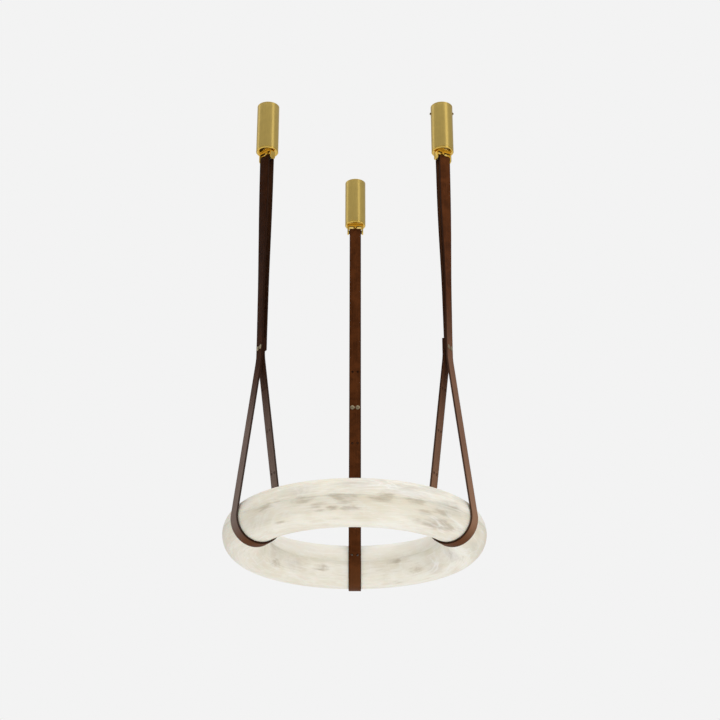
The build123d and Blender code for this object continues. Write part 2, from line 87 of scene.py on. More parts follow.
# Marks of the stone, among them a few spots of painted shade and painted light: angle round the ring, angle
# round the tube, reach in millimetres and weight
stone_blotches = (
    (-96, -5, 16, 1.0),
    (-92, -3, 12, 0.8),
    (-94, -17, 13, 0.7),
    (-99, -30, 10, 0.9),
    (-91, -31, 11, 1.0),
    (-77, 3, 11, 1.0),
    (-80, -8, 14, 0.85),
    (-110, -4, 13, 0.8),
    (-105, -21, 10, 0.65),
    (-105, -33, 8, 0.8),
    (-122, 1, 12, 0.5),
    (-129, -7, 15, 0.6),
    (-124, -51, 10, 0.6),
    (-64, -3, 12, 0.85),
    (-59, -27, 12, 0.7),
    (-52, -20, 14, 0.9),
    (-48, -43, 15, 1.0),
    (-60, -48, 13, 0.55),
    (-36, -42, 11, 0.5),
    (-44, -50, 14, 0.8),
    (-45, -2, 12, 0.7),
    (-53, -52, 20, 1.0),
    (152, -141, 24, 0.5),
    (113, -159, 18, 0.7),
    (61, -174, 15, 0.8),
    (45, -140, 22, 0.45),
    (62, -108, 11, 0.5),
    (98, 10, 16, 1.0),
    (91, -2, 12, 0.8),
    (107, 24, 13, 0.7),
    (79, -14, 13, 0.8),
    (70, 6, 14, 0.9),
    (60, 32, 12, 0.6),
    (124, 8, 13, 0.8),
    (131, -12, 14, 0.9),
    (113, 52, 12, 0.5),
    (84, 44, 11, 0.6),
    (160, 14, 14, 0.8),
    (170, -4, 12, 0.7),
    (12, 14, 14, 0.8),
    (20, -6, 12, 0.7),
    (32, 60, 13, 0.6),
    (150, 70, 14, 0.6),
    (-82, 160, 14, 0.8),
    (-101, -162, 13, 0.8),
    (-66, -158, 12, 0.6),
)
stone_halos_and_shade = (
    (-95, -15, 40, 0.9),
    (-76, -4, 30, 0.7),
    (-137, -24, 50, 1.0),
    (-112, -12, 36, 0.7),
    (-53, -32, 44, 1.0),
    (-63, -5, 28, 0.6),
    (30, -140, 44, 0.4),
    # painted shade on the inner underside near the left loop
    (155, -170, 44, 1.0),
    (66, -170, 30, 0.5),
    (-15, -60, 40, 0.3),
    (100, 8, 44, 0.9),
    (72, 2, 36, 0.8),
    (128, -2, 38, 0.8),
    (163, 10, 36, 0.7),
    (16, 8, 36, 0.7),
    (-84, 160, 40, 0.7),
    (-100, -160, 36, 0.6),
)
stone_greys_and_shade = (
    (-89, 31, 32, 1.0),
    (-69, 26, 32, 1.0),
    (-55, 38, 28, 1.0),
    (-114, 25, 24, 0.9),
    (-49, 0, 26, 1.0),
    (-64, 15, 26, 0.9),
    (-50, -46, 24, 0.7),
    (-138, -33, 28, 0.5),
    (-83, 46, 32, 1.0),
    # painted shade on the inner underside near the left loop
    (157, -174, 32, 0.7),
    (136, -160, 26, 0.7),
    (-32, 34, 26, 0.8),
    (0, -122, 28, 1.0),
    (-17, -60, 25, 0.5),
    (34, -145, 23, 0.5),
    (31, -124, 20, 0.7),
    # painted shade on the ring beside the left loop
    (-148, 32, 24, 0.7),
    (92, 34, 32, 1.0),
    (114, -22, 28, 0.9),
    (62, -28, 28, 0.8),
    (144, 36, 28, 0.8),
    (36, 42, 28, 0.8),
    (-150, 100, 30, 0.7),
    (-30, 100, 30, 0.7),
    (-90, 115, 30, 0.8),
    (90, 110, 30, 0.8),
)
# Spots of painted light that lighten the far inner face of the ring
stone_painted_light = (
    (22, 168, 40, 1.0),
    (42, 140, 40, 0.7),
    (12, -172, 34, 0.8),
    (38, -156, 24, 0.6),
)
stone_veined = (
    (-76, 24, 40, 0.6),
    (-45, -40, 30, 0.7),
    (20, -135, 45, 0.8),
    (-10, -80, 40, 0.5),
    (102, 18, 45, 0.8),
    (66, 10, 36, 0.6),
    (150, 40, 42, 0.6),
    (-90, 120, 40, 0.6),
)

# Tones of the stone and where they change: heights at the joint, angles round the tube
stone_tones = {
    "cream": (0.745, 0.69, 0.56, 1),
    "milk": (0.85, 0.815, 0.715, 1),
    "feather": (0.63, 0.565, 0.435, 1),
    "stroke": (0.6, 0.54, 0.43, 1),
    "wash": (0.89, 0.87, 0.82, 1),
    "halo": (0.65, 0.575, 0.43, 1),
    "grey": (0.56, 0.525, 0.46, 1),
    "brown": (0.42, 0.355, 0.26, 1),
    # painted light on the inner face
    "clear": (0.93, 0.9, 0.82, 1),
    "vein": (0.89, 0.88, 0.84, 1),
    "grain": (0.66, 0.62, 0.53, 1),
    # painted shade on the lower half just below the joint
    "shade": (0.5, 0.44, 0.33, 1),
    "joint": (0.42, 0.365, 0.28, 1),
}
joint_line = (2.0 * mm, 0.3 * mm)
# Painted shade on the lower half just below the joint
joint_shade = (-17 * mm, -1 * mm)
joint_shade_end = (0.4 * mm, -0.4 * mm)
# Where painted light lightens the inner face of the ring
inner_face = (tube_radius * radians(95), tube_radius * radians(130))
inner_face_end = (tube_radius * radians(180), tube_radius * radians(160))

# Leather belt
belt_width = 30 * mm
belt_thickness = 4 * mm
belt_edge_radius = 0.9 * mm
layer_pitch = 4.3 * mm
loop_clearance = 0.85 * mm
sleeve_clearance = 0.6 * mm
clamp_half_length = 25 * mm
strand_bend_radius = 150 * mm
stud_z = ring_z + 415.5 * mm
stud_spacing = 13.5 * mm
tail_up = 21 * mm
tail_down = 9 * mm
punch_pitch = 100 * mm
punch_rows = 6
punch_rows_below = 4
punch_radius = 2.2 * mm
lower_tail_inside = {"far": True, "left": False, "right": True}
stack_face = layer_pitch + belt_thickness / 2

# Tones of the leather and where they change, across, through and along the belt and by height
leather_tones = {
    "dark": (0.05, 0.0138, 0.0028, 1),
    "brown": (0.084, 0.0238, 0.0054, 1),
    "streak": (0.112, 0.0355, 0.0105, 1),
    "flesh": (0.10, 0.043, 0.02, 1),
    "under_ring": (0.16, 0.06, 0.02, 1),
    # Painted light and sheen on the near loops: cooler on the left, warmer on the right, each lighter lower
    # down
    "warm": (0.245, 0.135, 0.085, 1),
    "warm_low": (0.36, 0.205, 0.125, 1),
    "cool": (0.225, 0.17, 0.145, 1),
    "cool_low": (0.235, 0.19, 0.165, 1),
    "edge": (0.017, 0.0075, 0.0045, 1),
    "rim": (0.012, 0.006, 0.004, 1),
}
dark_edge = (belt_width / 2 - 2.8 * mm, belt_width / 2 - 0.3 * mm)
flesh_side = (belt_thickness / 2 - 0.8 * mm, belt_thickness / 2 - 0.1 * mm)
strand_fade = 5 * mm
punch_rim = (punch_radius + 1.4 * mm, punch_radius + 0.4 * mm)
punch_rim_end = (stud_z + 1.5 * punch_pitch, stud_z + 1.4 * punch_pitch)
# Where the painted light and sheen lie on the near loops
right_side = (-50 * mm, 50 * mm)
near_side = (ring_radius * 0.4, ring_radius * 0.7)
pale_strand = (stud_z + 170 * mm, stud_z - 140 * mm)
pale_loop = (stud_z - 15 * mm, stud_z - 220 * mm)
pale_loop_end = (ring_z - 60 * mm, ring_z - 8 * mm)
low_loop = (ring_z + 200 * mm, ring_z)
under_ring = (ring_z + 20 * mm, ring_z - 40 * mm)

# Studs that clamp the belt
stud_head_radius = 5.5 * mm
stud_head_height = 2 * mm
stud_head_lip = 0.7 * mm
stud_barrel_radius = 2.5 * mm
stud_socket = 1.25 * mm
stud_socket_depth = 1.4 * mm
stud_socket_clear = 1.5 * stud_socket
stud_end_gap = 0.4 * mm

# Canopy, end cap and side screws
canopy_radius = 27 * mm
canopy_bore = 25.4 * mm
canopy_top = -0.5 * mm
canopy_bottom = -132 * mm
canopy_edge = 0.8 * mm
groove_top = -4.5 * mm
groove_width = 0.8 * mm
groove_depth = 0.4 * mm
cap_seam = -127 * mm
cap_floor = -126 * mm
cap_recess = -131.2 * mm
cap_recess_radius = 23 * mm
cap_chamfer = 1.5 * mm
spigot_radius = 25.3 * mm
spigot_wall = 2 * mm
spigot_top = -115 * mm
cable_hole_radius = 3.5 * mm
cable_hole_offset = 14 * mm
side_screw_z = -19.5 * mm
side_screw_radius = 3 * mm
side_screw_height = 2.6 * mm
side_screw_lip = 1.6 * mm
side_screw_socket = 1 * mm
side_screw_socket_depth = 1.5 * mm
side_screw_socket_clear = 1.2 * side_screw_socket
side_screw_turn = {"far": -50.0, "left": -170.0, "right": 30.0}
side_screw_step = {"far": 100.0, "left": 100.0, "right": 180.0}

# Fork, bolt, cross screw and sleeve
pin_z = -150 * mm
fork_twist = {"far": 0.0, "left": 17.0, "right": -30.0}
twist_bottom = stud_z + 130 * mm
twist_top = pin_z - 45 * mm
fork_half_gap = 17 * mm
fork_thickness = 4 * mm
fork_half_width = 7 * mm
fork_bend = 3.5 * mm
fork_edge = 0.4 * mm
fork_reach = fork_half_gap + fork_thickness
fork_underside = cap_recess - fork_thickness
bolt_radius = 3.1 * mm
bolt_head_radius = 5.2 * mm
bolt_head_height = 3.4 * mm
bolt_head_chamfer = 1 * mm
bolt_play = 0.1 * mm
bolt_socket = 2 * mm
bolt_socket_depth = 2 * mm
bolt_tip = cap_floor + 7 * mm
cross_radius = 2.5 * mm
cross_head_radius = 4.6 * mm
cross_head_depth = 2.1 * mm
cross_socket = 1.5 * mm
cross_socket_depth = 1.6 * mm
cross_screw_side = {"far": 1, "left": 1, "right": -1}
sleeve_radius = 5 * mm
sleeve_bore = 2.6 * mm
sleeve_half_length = 16.85 * mm

# Fineness of the meshes
turn_steps = 96
small_turn_steps = 48
ring_steps = 240
stone_arc_steps = 56
arc_step = 3 * mm
run_step = 12 * mm
edge_round = 0.25 * mm
small_round = 0.15 * mm
least_round = 0.01 * mm
least_width = 0.02 * mm
merge_gap = 0.001 * mm
corner_share = 0.45
belt_edge_steps = 4
punch_steps = 20
stud_dome_steps = 10
side_screw_dome_steps = 8
fork_straight_steps = 3
fork_bend_steps = 10
fork_end_steps = 18
sharp_angle = radians(32)

# Studio
camera_place = (0.0125, -3.3276, -2.0993)
camera_pitch = radians(113.8)
camera_lens = 76.04
backdrop_grey = 0.896
surround_light = 0.88
floor_z = -4.0
floor_half = 14.0
floor_greys = (0.88, 0.9)
card_radius = 6.0
card_top = 7.0
card_spans = {"front_card": (-97.0, 162.0), "side_card": (-166.0, -116.0)}
card_steps = 48
card_grey = 0.42
flag_place = (-0.34, -0.21, 0)
flag_turn = -40.0
flag_width = 0.34
flag_low = -0.74
flag_high = 0.12
flag_grey = 0.02
light_middle = (0, 0, -0.6)

# Lamps: place, target, size, watts and whether shiny surfaces show them
lamps = {
    "stripe_box": ((1.1, -1.0, 0.2), (0, 0, -0.2), (0.5, 2.2), 2.0, True),
    "front_softbox": ((1.9, -3.0, -0.4), light_middle, (2.0, 2.0), 8, False),
    "low_fill": ((0.3, -1.0, -3.3), light_middle, (2.0, 1.5), 14, False),
    "top_softbox": ((0.2, -1.6, 2.0), light_middle, (2.0, 2.0), 32, False),
}

slot_of = {row["node"]: row["material_slot"] for row in frame["record"]["subparts"]}


class Wire:
    """An output socket of a node; arithmetic on it adds Math nodes."""

    def __init__(self, graph, socket):
        self.graph = graph
        self.socket = socket

    def out(self, name):
        """Another output of the same node."""
        return Wire(self.graph, self.socket.node.outputs[name])

    def maths(self, operation, *values):
        """Math node on these values."""
        return self.graph.add("ShaderNodeMath", {"operation": operation}, dict(enumerate(values)))

    def larger(self, other):
        """The larger of two values."""
        return self.maths("MAXIMUM", self, other)

    def __add__(self, other):
        return self.maths("ADD", self, other)

    def __radd__(self, other):
        return self.maths("ADD", other, self)

    def __sub__(self, other):
        return self.maths("SUBTRACT", self, other)

    def __rsub__(self, other):
        return self.maths("SUBTRACT", other, self)

    def __mul__(self, other):
        return self.maths("MULTIPLY", self, other)

    def __rmul__(self, other):
        return self.maths("MULTIPLY", other, self)

    def __pow__(self, other):
        return self.maths("POWER", self, other)

    def __abs__(self):
        return self.maths("ABSOLUTE", self)


class Graph:
    """A node tree that is built node by node."""

    def __init__(self, tree):
        self.tree = tree

    def add(self, kind, settings=None, sockets=None, out=0):
        """Add a node: first its settings, then the values or links of its sockets. Returns one output."""
        node = self.tree.nodes.new(kind)
        for name, value in (settings or {}).items():
            if name == "captures":
                node.capture_items.new(value, "kept")
            else:
                setattr(node, name, value)
        for name, value in (sockets or {}).items():
            if isinstance(value, Wire):
                self.tree.links.new(value.socket, node.inputs[name])
            else:
                node.inputs[name].default_value = value
        return Wire(self, node.outputs[out] if node.outputs else None)

    def noise(self, place, scale, detail=3.0, roughness=0.55, distortion=0.0):
        """Cloudy noise from 0 to 1."""
        sockets = {
            "Vector": place,
            "Scale": scale,
            "Detail": detail,
            "Roughness": roughness,
            "Distortion": distortion,
        }
        return self.add("ShaderNodeTexNoise", {}, sockets)

    def step(self, value, low, high):
        """Smooth step from 0 at low to 1 at high."""
        sockets = {"Value": value, "From Min": low, "From Max": high}
        return self.add("ShaderNodeMapRange", {"interpolation_type": "SMOOTHSTEP"}, sockets)

    def mix(self, share, first, second):
        """Colour between two colours."""
        return self.add("ShaderNodeMix", {"data_type": "RGBA"}, {0: share, 6: first, 7: second}, 2)

    def layered(self, colour, tones, shares):
        """Colour with tones laid over it one after another, each by its share."""
        for name, share in shares.items():
            colour = self.mix(share, colour, tones[name])
        return colour

    def parts(self, place):
        """X of a place; its Y and Z are the other outputs of the node."""
        return self.add("ShaderNodeSeparateXYZ", {}, {"Vector": place}, "X")

    def joined(self, x=0.0, y=0.0, z=0.0):
        """Place from its three parts."""
        return self.add("ShaderNodeCombineXYZ", {}, {"X": x, "Y": y, "Z": z})

    def swayed(self, place, scale, reach):
        """Coordinates that noise moves about by up to half the reach."""
        drift = self.noise(place, scale).out("Color")
        moved = {0: drift, 1: (reach, reach, reach), 2: place}
        moved = self.add("ShaderNodeVectorMath", {"operation": "MULTIPLY_ADD"}, moved)
        return self.stretched(moved, (1, 1, 1), (-reach / 2, -reach / 2, -reach / 2))

    def stretched(self, place, scale, shift=(0, 0, 0)):
        """Coordinates that are moved and stretched."""
        return self.add("ShaderNodeMapping", {}, {"Vector": place, "Location": shift, "Scale": scale})


class Finish(Graph):
    """A material; its varying sockets are linked and its constant ones set on the shader itself."""

    def __init__(self, name, **constants):
        self.material = bpy.data.materials.new(name)
        self.material.use_nodes = True
        super().__init__(self.material.node_tree)
        self.shader = self.tree.nodes["Principled BSDF"]
        for socket, value in constants.items():
            self.shader.inputs[socket.replace("_", " ")].default_value = value

    def place(self):
        """Object coordinates."""
        return self.add("ShaderNodeTexCoord", {}, {}, "Object")

    def feed(self, **wires):
        """Link wires to the shader."""
        for socket, wire in wires.items():
            self.tree.links.new(wire.socket, self.shader.inputs[socket.replace("_", " ")])
        return self.material

    def bump(self, height, strength, distance):
        """Normal from a height."""
        return self.add("ShaderNodeBump", {}, {"Height": height, "Strength": strength, "Distance": distance})


# Finishes
def marks(stone, place, rows):
    """How near a place on the unrolled stone is to a mark: its weight at its middle, 0 from its reach on."""
    circle = ring_radius * stone_stretch
    nearest = None
    for around, about, reach, weight in rows:
        turn = radians(around)
        middle = (circle * cos(turn), circle * sin(turn), tube_radius * radians(about))
        ends = {0: place, 1: middle}
        gap = stone.add("ShaderNodeVectorMath", {"operation": "DISTANCE"}, ends, "Value")
        near = stone.step(gap, reach * mm, 0.0) * weight
        nearest = near if nearest is None else near.larger(nearest)
    return nearest


def unrolled(stone, spot):
    """Place on the unrolled stone, height above the joint and way round the tube.

    X and Y lie on a smaller circle, so that marks draw out along the ring, and Z goes round the tube.
    """
    parts = stone.parts(spot)
    level = stone.joined(parts, parts.out("Y"))
    out = stone.add("ShaderNodeVectorMath", {"operation": "LENGTH"}, {0: level}, "Value")
    rise = parts.out("Z") - ring_z
    about = out.maths("ARCTAN2", rise, out - ring_radius) * tube_radius
    shrink = ring_radius * stone_stretch * out ** -1
    return stone.joined(parts * shrink, parts.out("Y") * shrink, about), rise, about


def alabaster(name, shift):
    """Honed cream stone: milky clouds, brown and grey blotches, thin pale veins and a fine dark joint, with
    painted shade below the joint and beside the left loop and painted light on the inner face.
    """
    stone = Finish(name, Subsurface_Weight=0.12, Subsurface_Scale=0.012, IOR=1.52)
    spot = stone.place()
    flat, rise, about = unrolled(stone, spot)
    place = stone.stretched(flat, (1, 1, 1), shift)
    swayed = stone.swayed(flat, scale=60, reach=16 * mm)
    clouds = stone.noise(place, scale=14, detail=5, roughness=0.55, distortion=0.8)
    lobes = stone.noise(place, scale=75, detail=5, roughness=0.6, distortion=0.6)
    drawn_out = stone.stretched(place, (1, 1, 2.2))
    feathers = stone.noise(drawn_out, scale=38, detail=5, roughness=0.62, distortion=1.0)
    drawn_out = stone.stretched(place, (1, 1, 5))
    strokes = stone.noise(drawn_out, scale=55, detail=4, roughness=0.6, distortion=0.8)
    brown = marks(stone, swayed, stone_blotches)
    blotch = stone.step(brown + (lobes - 0.5) * 1.2 + (strokes - 0.5) * 0.9, 0.08, 1.0)
    halo = stone.step(marks(stone, swayed, stone_halos_and_shade) + clouds - 0.5, 0.0, 0.9)
    smudges = 0.5 + stone.step(lobes + strokes, 0.8, 1.15) * 0.5
    grey = marks(stone, swayed, stone_greys_and_shade) * smudges
    drawn_out = stone.stretched(place, (1, 1, 0.8))
    vein_line = stone.noise(drawn_out, scale=17, detail=4, roughness=0.55, distortion=1.2)
    vein_line = (1 - abs(vein_line - 0.5) * 2) ** 15
    veins = vein_line * (0.25 + marks(stone, flat, stone_veined) * 0.75)
    grain = stone.noise(spot, scale=260, detail=3, roughness=0.6)
    joint = stone.step(abs(rise), *joint_line) * stone.step(clouds, 0.38, 0.62)
    # painted shade just below the joint, on the lower half
    shade = stone.step(rise, *joint_shade) * stone.step(rise, *joint_shade_end)
    inside = stone.step(about, *inner_face) * stone.step(about, *inner_face_end)
    clear = marks(stone, swayed, stone_painted_light)
    layers = {
        "feather": stone.step(feathers, 0.46, 0.72) * 0.34,
        "stroke": stone.step(strokes, 0.5, 0.74) * 0.3,
        "wash": stone.step(strokes, 0.46, 0.28) * 0.6,
        "halo": halo * 0.36,
        "grey": grey * 0.85,
        "brown": blotch * 0.8,
        # painted light on the inner face and at a few spots beside it
        "clear": inside.larger(clear) * 0.5,
        "vein": veins,
        "grain": grain * 0.1,
        "shade": shade * (0.06 + strokes * 0.2),
        "joint": joint * 0.24,
    }
    colour = stone.mix(stone.step(clouds, 0.34, 0.64), stone_tones["cream"], stone_tones["milk"])
    colour = stone.layered(colour, stone_tones, layers)
    rough = 0.38 + clouds * 0.14 + blotch * 0.1
    normal = stone.bump(grain * 0.4 + clouds, strength=0.1, distance=0.4 * mm)
    return stone.feed(Base_Color=colour, Roughness=rough, Normal=normal)


def inward_strands(hide, strap):
    """Where a belt's strand is one of the two inward ones, by the distance along the belt."""
    upper_run = pin_z - stud_z
    lowest = 2 * upper_run + stud_z - ring_z + 2 * tube_radius
    along = strap.out("Y")
    upper = hide.step(along, upper_run, upper_run - strand_fade)
    return upper + hide.step(along, lowest, lowest + strand_fade)


def punched_rims(hide, strap, height, inward):
    """Dark rims round the punched holes, which lie in the inward strands."""
    climb = height - stud_z + (punch_rows_below + 1.5) * punch_pitch
    up = climb.maths("MODULO", climb, punch_pitch) - punch_pitch / 2
    across = abs(strap) - stud_spacing / 2
    gap = (up * up + across * across) ** 0.5
    return hide.step(gap, *punch_rim) * inward * hide.step(height, *punch_rim_end)


def painted_light_on_loops(hide, where, inward):
    """Where light and sheen are painted on the near loops, and their paler tone, which is cooler on the left
    than on the right.
    """
    height = where.out("Z")
    on_right = hide.step(where, *right_side)
    outward = hide.step(height, *pale_strand) * on_right * (1 - inward)
    share = hide.step(height, *pale_loop).larger(outward) * hide.step(height, *pale_loop_end)
    low = hide.step(height, *low_loop)
    cool = hide.mix(low, leather_tones["cool"], leather_tones["cool_low"])
    warm = hide.mix(low, leather_tones["warm"], leather_tones["warm_low"])
    return share * hide.step(abs(where), *near_side), hide.mix(on_right, cool, warm)


def leather():
    """Dark brown saddle leather: fine grain, burnished edges, rough inside, and painted light and sheen that
    make the near loops paler.
    """
    hide = Finish("saddle_leather", IOR=1.46, Specular_IOR_Level=0.04)
    place = hide.place()
    where = hide.parts(place)
    height = where.out("Z")
    strap = hide.add("ShaderNodeAttribute", {"attribute_name": "strap"}, {}, "Vector")
    across = hide.parts(strap)
    inward = inward_strands(hide, across)
    edge = hide.step(abs(across), *dark_edge)
    flesh = hide.step(0 - across.out("Z"), *flesh_side)
    cells = {"Vector": place, "Scale": 900.0}
    pores = hide.add("ShaderNodeTexVoronoi", {"feature": "DISTANCE_TO_EDGE"}, cells)
    creases = hide.noise(place, scale=420, detail=4, roughness=0.6)
    mottling = hide.noise(place, scale=38, detail=4, roughness=0.6, distortion=0.5)
    streaks = hide.noise(hide.stretched(strap, (300, 9, 1)), scale=1.0, detail=3, roughness=0.6)
    loop_painted_light, loop_painted_light_tone = painted_light_on_loops(hide, where, inward)
    tones = {**leather_tones, "loop_painted_light": loop_painted_light_tone}
    layers = {
        "streak": hide.step(streaks, 0.45, 0.75) * 0.35,
        "flesh": flesh * 0.5,
        "under_ring": hide.step(height, *under_ring) * 0.3,
        # painted light and sheen on the near loops
        "loop_painted_light": loop_painted_light * (0.4 + streaks * 0.5),
        "edge": edge * 0.8,
        "rim": punched_rims(hide, across, height, inward) * 0.85,
    }
    colour = hide.mix(hide.step(mottling, 0.3, 0.7), tones["dark"], tones["brown"])
    colour = hide.layered(colour, tones, layers)
    rough = 0.43 + creases * 0.16 + flesh * 0.2 - edge * 0.12
    relief = hide.step(pores, 0.0, 0.12) * 0.6 + creases * 0.5
    normal = hide.bump(relief, strength=0.4, distance=0.25 * mm)
    return hide.feed(Base_Color=colour, Roughness=rough, Normal=normal)


def toned(tone, share):
    """Colour that is this much lighter or darker."""
    return (*(min(1.0, channel * share) for channel in tone), 1)


def brass(name, tone, rough, drawn):
    """Brass with fine drawn lines along the height; drawn is how strong they are."""
    metal = Finish(name, Metallic=1.0)
    place = metal.place()
    lines = metal.noise(metal.stretched(place, (900, 900, 5)), scale=1.0, detail=3, roughness=0.6)
    smears = metal.noise(place, scale=55, detail=4, roughness=0.6, distortion=0.4)
    share = metal.step(lines * 0.5 + smears * 0.5, 0.35, 0.65)
    colour = metal.mix(share, toned(tone, 0.95), toned(tone, 1.04))
    shine = rough + (lines - 0.5) * drawn + (smears - 0.5) * 0.04
    normal = metal.bump(lines, strength=drawn, distance=0.01 * mm)
    return metal.feed(Base_Color=colour, Roughness=shine, Normal=normal)


def plated(name, tone, rough):
    """Small hardware: plated, bronzed or mill-finished metal with fine mottling."""
    metal = Finish(name, Metallic=1.0)
    place = metal.place()
    spangle = metal.noise(place, scale=320, detail=3, roughness=0.6)
    cloud = metal.noise(place, scale=60, detail=3, roughness=0.5)
    colour = metal.mix(spangle * 0.6 + cloud * 0.4, toned(tone, 0.8), toned(tone, 1))
    normal = metal.bump(spangle, strength=0.08, distance=0.05 * mm)
    return metal.feed(Base_Color=colour, Roughness=rough + (cloud - 0.5) * 0.16, Normal=normal)


def moulded(name, tone, rough):
    """Moulded plastic or rubber with a fine spark texture."""
    plastic = Finish(name, IOR=1.48)
    place = plastic.place()
    spark = plastic.noise(place, scale=1400, detail=2, roughness=0.5)
    cloud = plastic.noise(place, scale=90, detail=3, roughness=0.5)
    colour = plastic.mix(cloud * 0.7 + spark * 0.3, toned(tone, 0.84), toned(tone, 1))
    normal = plastic.bump(spark, strength=0.15, distance=0.08 * mm)
    return plastic.feed(Base_Color=colour, Roughness=rough + (cloud - 0.5) * 0.14, Normal=normal)


finishes = {
    "leather": leather(),
    "satin_brass": brass("satin_brass", (0.80, 0.58, 0.17), 0.31, 0.04),
    "polished_brass": brass("polished_brass", (0.84, 0.57, 0.13), 0.17, 0.03),
    "stud_brass": brass("stud_brass", (0.43, 0.35, 0.22), 0.27, 0.02),
    "bracket_steel": plated("zinc_plated_steel", (0.62, 0.62, 0.63), 0.34),
    "dark_steel": plated("bronzed_steel", (0.26, 0.165, 0.06), 0.38),
    "black_sleeve": moulded("black_sleeve", (0.022, 0.021, 0.02), 0.42),
    "carrier_aluminium": plated("mill_aluminium", (0.78, 0.78, 0.79), 0.3),
    "led_board": moulded("white_light_board", (0.86, 0.86, 0.84), 0.4),
    "led_chip": moulded("phosphor_chips", (0.90, 0.80, 0.38), 0.25),
    "post_plastic": moulded("natural_nylon", (0.83, 0.82, 0.78), 0.45),
    "driver_plastic": moulded("white_driver_case", (0.84, 0.84, 0.82), 0.5),
    "terminal_plastic": moulded("terminal_polyamide", (0.78, 0.77, 0.73), 0.45),
}


# Meshes
def settled(mesh):
    """Smooth shading that breaks at sharp edges."""
    mesh.shade_smooth()
    mesh.set_sharp_from_angle(angle=sharp_angle)
    return mesh


def closed_mesh(name, points, faces):
    """Mesh with merged poles and faces that point outwards."""
    mesh = bpy.data.meshes.new(name)
    mesh.from_pydata([tuple(point) for point in points], [], faces)
    shape = bmesh.new()
    shape.from_mesh(mesh)
    bmesh.ops.remove_doubles(shape, verts=shape.verts, dist=merge_gap)
    bmesh.ops.recalc_face_normals(shape, faces=shape.faces)
    shape.to_mesh(mesh)
    shape.free()
    return mesh


def arc(centre, radius, first, last, steps):
    """Points on an arc between two angles in radians."""
    angles = [first + (last - first) * i / steps for i in range(steps + 1)]
    return [(centre[0] + radius * cos(angle), centre[1] + radius * sin(angle)) for angle in angles]


def eased(points, radius, steps=3):
    """Closed outline whose corners are rounded by a small radius."""
    rounded = []
    for i, corner in enumerate(points):
        here = Vector(corner)
        before = Vector(points[i - 1]) - here
        after = Vector(points[(i + 1) % len(points)]) - here
        start = here + before.normalized() * min(radius, before.length * corner_share)
        end = here + after.normalized() * min(radius, after.length * corner_share)
        for k in range(steps + 1):
            t = k / steps
            rounded.append(tuple(start.lerp(here, t).lerp(here.lerp(end, t), t)))
    return rounded


def turned(name, outline, steps, loop=True, six_sided=()):
    """Outline of (radius, height) points turned about Z; points in six_sided follow a socket's hexagon."""
    angles = np.arange(steps) * 2 * pi / steps
    side = (angles + pi / 6) % (pi / 3) - pi / 6
    count = len(outline)
    reach = np.tile([point[0] for point in outline], (steps, 1))
    for i in six_sided:
        reach[:, i] /= np.cos(side)
    height = np.tile([point[1] for point in outline], (steps, 1))
    across = np.cos(angles)[:, None]
    along = np.sin(angles)[:, None]
    points = np.stack([reach * across, reach * along, height], -1).reshape(-1, 3)
    faces = []
    for i in range(steps):
        for j in range(count if loop else count - 1):
            near = i * count
            far = (i + 1) % steps * count
            k = (j + 1) % count
            faces.append((near + j, far + j, far + k, near + k))
    return closed_mesh(name, points, faces)


def socket_head(name, outline, socket, depth):
    """Turned screw whose outline starts at the middle of its head, with a six-sided socket sunk in there."""
    top = outline[0][1]
    well = [(0.0, top - depth), (socket, top - depth), (socket, top)]
    return turned(name, well + outline[1:], small_turn_steps, False, (1, 2))


def dome(radius, base, lip, height, steps):
    """Outline of a domed head above its base, from its middle to the top of its lip."""
    rise = height - lip
    return [(radius * i / steps, base + lip + rise * cos(pi / 2 * i / steps)) for i in range(steps + 1)]


def domed_screw(name, head, base, socket, depth, clear):
    """Head of a screw with a socket in its dome, which starts clear of the socket."""
    rim = head[-1][0]
    outline = [head[0]] + [point for point in head if point[0] > clear] + [(rim, base), (0, base)]
    return socket_head(name, outline, socket, depth)


def shown(obj):
    """Object in the scene."""
    bpy.context.scene.collection.objects.link(obj)
    return obj


def evaluated_mesh(obj, name):
    """Plain mesh of an object with its modifiers applied; the object is removed."""
    graph = bpy.context.evaluated_depsgraph_get()
    ready = obj.evaluated_get(graph)
    mesh = bpy.data.meshes.new_from_object(ready, preserve_all_data_layers=True, depsgraph=graph)
    mesh.name = name
    bpy.data.objects.remove(obj)
    return mesh


def drilled(mesh, *cutters):
    """Mesh with the cutters taken out of it."""
    work = shown(bpy.data.objects.new("work", mesh))
    tools = [shown(bpy.data.objects.new("cutter", cutter)) for cutter in cutters]
    for tool in tools:
        cut = work.modifiers.new("cut", "BOOLEAN")
        cut.solver = "EXACT"
        cut.object = tool
    cut_mesh = evaluated_mesh(work, mesh.name)
    for tool in tools:
        bpy.data.objects.remove(tool)
    return cut_mesh


def rod(radius, low, high):
    """Plain cutter along Z."""
    return turned("cutter", [(0, low), (radius, low), (radius, high), (0, high)], small_turn_steps, False)


def hanger_place(side):
    """Matrix from a hanger's own place to the whole light."""
    return Matrix.Rotation(radians(hangers[side]), 4, "Z") @ Matrix.Translation((ring_radius, 0, 0))


def piece(name, mesh, node, finish=None):
    """Show a mesh instead of a solid, moving with the solid's body."""
    if finish is not None:
        mesh.materials.clear()
        mesh.materials.append(finish)
    obj = shown(bpy.data.objects.new(name, settled(mesh)))
    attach(obj, frame["nodes"][node]["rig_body"])
    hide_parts(node)


# Trees of geometry nodes
def new_tree(name, sockets):
    """Geometry tree with named inputs, and its group input."""
    tree = bpy.data.node_groups.new(name, "GeometryNodeTree")
    for label, kind in sockets.items():
        tree.interface.new_socket(label, in_out="INPUT", socket_type=f"NodeSocket{kind}")
    tree.interface.new_socket("Geometry", in_out="OUTPUT", socket_type="NodeSocketGeometry")
    graph = Graph(tree)
    return graph, graph.add("NodeGroupInput")


